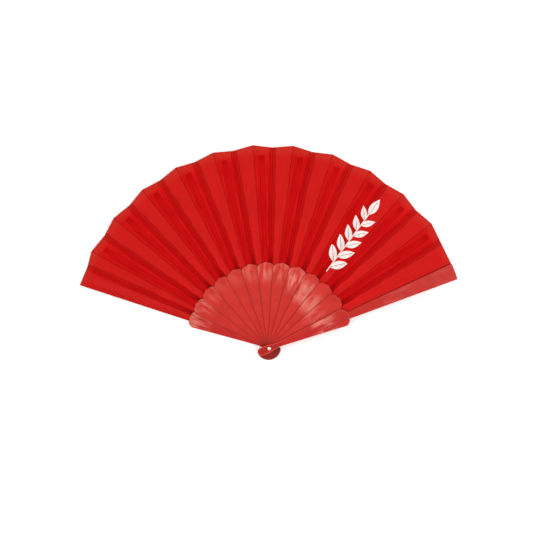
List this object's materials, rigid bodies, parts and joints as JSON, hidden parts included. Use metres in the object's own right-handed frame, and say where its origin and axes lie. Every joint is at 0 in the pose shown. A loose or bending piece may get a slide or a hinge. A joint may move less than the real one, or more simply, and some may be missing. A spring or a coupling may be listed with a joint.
{
  "type": "folding hand fan",
  "caption": "Folding hand fan, open: red moulded plastic sticks stacked on one rivet, two guards and a pleated red cloth leaf with a small white leaf-sprig print.",
  "frame": {"origin": "on the rivet's axis, in the plane of the rear guard's back face", "axes": "+Z along the rivet from the back of the stack to the front; +Y up through the middle of the open leaf; +X towards the front guard's side, to the right when the fan is seen from its front"},
  "size_m": [0.4032, 0.2293, 0.018],
  "materials": {
    "guard_plastic": "moulded plastic, semi-gloss, lightly scuffed",
    "stick_plastic": "moulded plastic, semi-gloss, pale scuffs near the blade tops",
    "leaf_cloth": null,
    "rivet_metal": "small plated steel rivet, polished dome"
  },
  "bodies": {
    "rear_guard": {"rear_guard": "guard_plastic", "pivot_rivet": "rivet_metal", "leaf_panel_00": "leaf_cloth"},
    "stick_01": {"stick_01": "stick_plastic", "leaf_panel_01": "leaf_cloth", "leaf_fold_01": "leaf_cloth"},
    "stick_02": {"stick_02": "stick_plastic", "leaf_panel_02": "leaf_cloth", "leaf_fold_02": "leaf_cloth"},
    "stick_03": {"stick_03": "stick_plastic", "leaf_panel_03": "leaf_cloth", "leaf_fold_03": "leaf_cloth"},
    "stick_04": {"stick_04": "stick_plastic", "leaf_panel_04": "leaf_cloth", "leaf_fold_04": "leaf_cloth"},
    "stick_05": {"stick_05": "stick_plastic", "leaf_panel_05": "leaf_cloth", "leaf_fold_05": "leaf_cloth"},
    "stick_06": {"stick_06": "stick_plastic", "leaf_panel_06": "leaf_cloth", "leaf_fold_06": "leaf_cloth"},
    "stick_07": {"stick_07": "stick_plastic", "leaf_panel_07": "leaf_cloth", "leaf_fold_07": "leaf_cloth"},
    "stick_08": {"stick_08": "stick_plastic", "leaf_panel_08": "leaf_cloth", "leaf_fold_08": "leaf_cloth"},
    "stick_09": {"stick_09": "stick_plastic", "leaf_panel_09": "leaf_cloth", "leaf_fold_09": "leaf_cloth"},
    "stick_10": {"stick_10": "stick_plastic", "leaf_panel_10": "leaf_cloth", "leaf_fold_10": "leaf_cloth"},
    "stick_11": {"stick_11": "stick_plastic", "leaf_panel_11": "leaf_cloth", "leaf_fold_11": "leaf_cloth"},
    "front_guard": {"front_guard": "guard_plastic", "leaf_panel_12": "leaf_cloth", "leaf_fold_12": "leaf_cloth"}
  },
  "joints": [
    {"name": "stick_01_turn", "type": "hinge", "parent": "rear_guard", "child": "stick_01", "pos_m": [0, 0, 0], "axis": [0, 0, 1], "range_deg": [0, 10.2], "deforming": ["leaf_fold_01"]},
    {"name": "stick_02_turn", "type": "hinge", "parent": "stick_01", "child": "stick_02", "pos_m": [0, 0, 0], "axis": [0, 0, 1], "range_deg": [0, 11.4], "deforming": ["leaf_fold_02"]},
    {"name": "stick_03_turn", "type": "hinge", "parent": "stick_02", "child": "stick_03", "pos_m": [0, 0, 0], "axis": [0, 0, 1], "range_deg": [0, 11.4], "deforming": ["leaf_fold_03"]},
    {"name": "stick_04_turn", "type": "hinge", "parent": "stick_03", "child": "stick_04", "pos_m": [0, 0, 0], "axis": [0, 0, 1], "range_deg": [0, 11.4], "deforming": ["leaf_fold_04"]},
    {"name": "stick_05_turn", "type": "hinge", "parent": "stick_04", "child": "stick_05", "pos_m": [0, 0, 0], "axis": [0, 0, 1], "range_deg": [0, 11.4], "deforming": ["leaf_fold_05"]},
    {"name": "stick_06_turn", "type": "hinge", "parent": "stick_05", "child": "stick_06", "pos_m": [0, 0, 0], "axis": [0, 0, 1], "range_deg": [0, 11.4], "deforming": ["leaf_fold_06"]},
    {"name": "stick_07_turn", "type": "hinge", "parent": "stick_06", "child": "stick_07", "pos_m": [0, 0, 0], "axis": [0, 0, 1], "range_deg": [0, 11.4], "deforming": ["leaf_fold_07"]},
    {"name": "stick_08_turn", "type": "hinge", "parent": "stick_07", "child": "stick_08", "pos_m": [0, 0, 0], "axis": [0, 0, 1], "range_deg": [0, 11.4], "deforming": ["leaf_fold_08"]},
    {"name": "stick_09_turn", "type": "hinge", "parent": "stick_08", "child": "stick_09", "pos_m": [0, 0, 0], "axis": [0, 0, 1], "range_deg": [0, 11.4], "deforming": ["leaf_fold_09"]},
    {"name": "stick_10_turn", "type": "hinge", "parent": "stick_09", "child": "stick_10", "pos_m": [0, 0, 0], "axis": [0, 0, 1], "range_deg": [0, 11.4], "deforming": ["leaf_fold_10"]},
    {"name": "stick_11_turn", "type": "hinge", "parent": "stick_10", "child": "stick_11", "pos_m": [0, 0, 0], "axis": [0, 0, 1], "range_deg": [0, 11.4], "deforming": ["leaf_fold_11"]},
    {"name": "front_guard_turn", "type": "hinge", "parent": "stick_11", "child": "front_guard", "pos_m": [0, 0, 0], "axis": [0, 0, 1], "range_deg": [0, 12.6], "deforming": ["leaf_fold_12"]}
  ],
  "couplings": [
    {"joint": "stick_02_turn", "follows": "stick_01_turn", "ratio": 1.1176},
    {"joint": "stick_03_turn", "follows": "stick_01_turn", "ratio": 1.1176},
    {"joint": "stick_04_turn", "follows": "stick_01_turn", "ratio": 1.1176},
    {"joint": "stick_05_turn", "follows": "stick_01_turn", "ratio": 1.1176},
    {"joint": "stick_06_turn", "follows": "stick_01_turn", "ratio": 1.1176},
    {"joint": "stick_07_turn", "follows": "stick_01_turn", "ratio": 1.1176},
    {"joint": "stick_08_turn", "follows": "stick_01_turn", "ratio": 1.1176},
    {"joint": "stick_09_turn", "follows": "stick_01_turn", "ratio": 1.1176},
    {"joint": "stick_10_turn", "follows": "stick_01_turn", "ratio": 1.1176},
    {"joint": "stick_11_turn", "follows": "stick_01_turn", "ratio": 1.1176},
    {"joint": "front_guard_turn", "follows": "stick_01_turn", "ratio": 1.2353}
  ]
}
